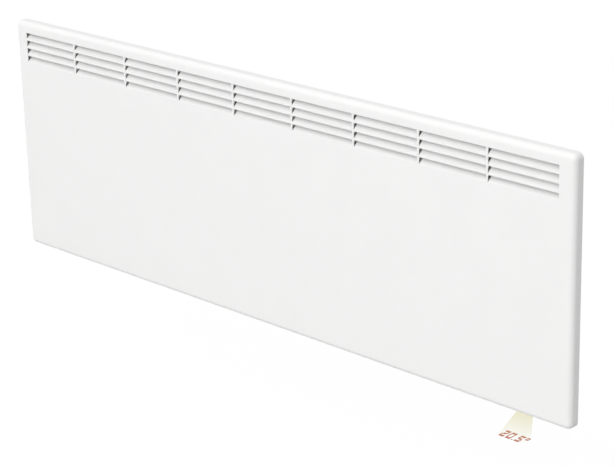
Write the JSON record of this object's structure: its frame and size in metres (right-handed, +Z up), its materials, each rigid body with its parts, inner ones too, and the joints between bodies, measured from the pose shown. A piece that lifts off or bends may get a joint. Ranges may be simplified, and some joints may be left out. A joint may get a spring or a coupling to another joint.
{
  "type": "wall panel convector heater",
  "caption": "Slim wall-hung electric convector: white pressed-steel panel with rows of louvres along its top edge, rear air duct, and a bracket it tilts on.",
  "frame": {"origin": "centre of the wall bracket's four screw holes, on the wall plane", "axes": "+X to the right as seen by someone facing the heater, +Y into the wall, +Z up"},
  "size_m": [1.184, 0.088, 0.4],
  "materials": {
    "panel_white": "satin white powder coat",
    "casing_white": "satin white powder coat",
    "galvanised": "galvanised sheet",
    "zinc": "zinc plated",
    "fin_aluminium": "as cast and rolled",
    "bright_sheet": "bright aluminised",
    "sheath": "heat-darkened steel",
    "ceramic": "unglazed steatite",
    "housing_plastic": "fine-grained moulding",
    "dark_plastic": "fine-grained moulding",
    "key_plastic": "light grey satin moulding",
    "board": "solder-masked laminate",
    "component": "moulded case",
    "transformer_yellow": "varnished tape and potting",
    "terminal_plastic": "nylon moulding",
    "brass": "plated",
    "lens_clear": "clear polycarbonate",
    "lamp": "tinted epoxy",
    "lead_brown": "silicone insulation",
    "lead_blue": "silicone insulation",
    "lead_green": "silicone insulation",
    "pad_rubber": "moulded rubber",
    "spring_steel": "drawn wire",
    "catch_plastic": "glass-filled nylon"
  },
  "bodies": {
    "wall_bracket": {"bracket_upright_left": "galvanised", "bracket_upright_right": "galvanised", "rail_upper": "galvanised", "rail_lower": "galvanised", "rail_rivets": "zinc", "catch_spring_left": "spring_steel", "catch_spring_right": "spring_steel"},
    "heater": {"air_baffle": "galvanised", "board_screws": "zinc", "button_board": "board", "cable_gland": "dark_plastic", "capacitor": "dark_plastic", "casing_screws": "zinc", "control_housing": "housing_plastic", "control_lid": "housing_plastic", "earth_screw": "brass", "element_bracket_left": "galvanised", "element_bracket_right": "galvanised", "element_bushes": "ceramic", "element_fins": "fin_aluminium", "element_terminals": "brass", "element_tube": "sheath", "front_panel": "panel_white", "front_shield": "bright_sheet", "gland_nut": "dark_plastic", "hanger_left": "galvanised", "hanger_right": "galvanised", "heat_reflector": "bright_sheet", "lead_earth": "lead_green", "lead_link": "lead_brown", "lead_live": "lead_brown", "lead_neutral": "lead_blue", "lens_holder": "dark_plastic", "lid_screws": "zinc", "numeral_mask": "dark_plastic", "overheat_cutout": "ceramic", "panel_stiffener": "galvanised", "pivot_pins": "zinc", "power_board": "board", "projector_lamp": "lamp", "projector_lens": "lens_clear", "projector_shroud": "dark_plastic", "projector_window": "lens_clear", "rear_casing": "casing_white", "relay": "component", "room_sensor": "dark_plastic", "sensor_clip": "dark_plastic", "strike_left": "galvanised", "strike_pads": "pad_rubber", "strike_right": "galvanised", "switch_frame": "dark_plastic", "tact_switches": "dark_plastic", "terminal_block": "terminal_plastic", "transformer": "transformer_yellow"},
    "catch_left": {"catch_left": "catch_plastic"},
    "catch_right": {"catch_right": "catch_plastic"},
    "rocker": {"rocker": "key_plastic"},
    "button_minus": {"button_minus": "key_plastic"},
    "button_plus": {"button_plus": "key_plastic"},
    "button_mode": {"button_mode": "key_plastic"}
  },
  "joints": [
    {"name": "heater_tilt", "type": "hinge", "parent": "wall_bracket", "child": "heater", "pos_m": [0, -0.012, -0.124], "axis": [1, 0, 0], "range_deg": [0, 28]},
    {"name": "catch_left_press", "type": "slide", "parent": "wall_bracket", "child": "catch_left", "axis": [0, 0, -1], "range_m": [0, 0.006], "stiffness_N_per_m": 900, "springref_m": -0.004, "deforming": ["catch_spring_left"]},
    {"name": "catch_right_press", "type": "slide", "parent": "wall_bracket", "child": "catch_right", "axis": [0, 0, -1], "range_m": [0, 0.006], "stiffness_N_per_m": 900, "springref_m": -0.004, "deforming": ["catch_spring_right"]},
    {"name": "rocker_turn", "type": "hinge", "parent": "heater", "child": "rocker", "pos_m": [0.5446, -0.046, -0.098], "axis": [0, -1, 0], "range_deg": [0, 20]},
    {"name": "button_minus_press", "type": "slide", "parent": "heater", "child": "button_minus", "axis": [-1, 0, 0], "range_m": [0, 0.001], "stiffness_N_per_m": 900, "springref_m": -0.0008},
    {"name": "button_plus_press", "type": "slide", "parent": "heater", "child": "button_plus", "axis": [-1, 0, 0], "range_m": [0, 0.001], "stiffness_N_per_m": 900, "springref_m": -0.0008},
    {"name": "button_mode_press", "type": "slide", "parent": "heater", "child": "button_mode", "axis": [-1, 0, 0], "range_m": [0, 0.001], "stiffness_N_per_m": 900, "springref_m": -0.0008}
  ]
}
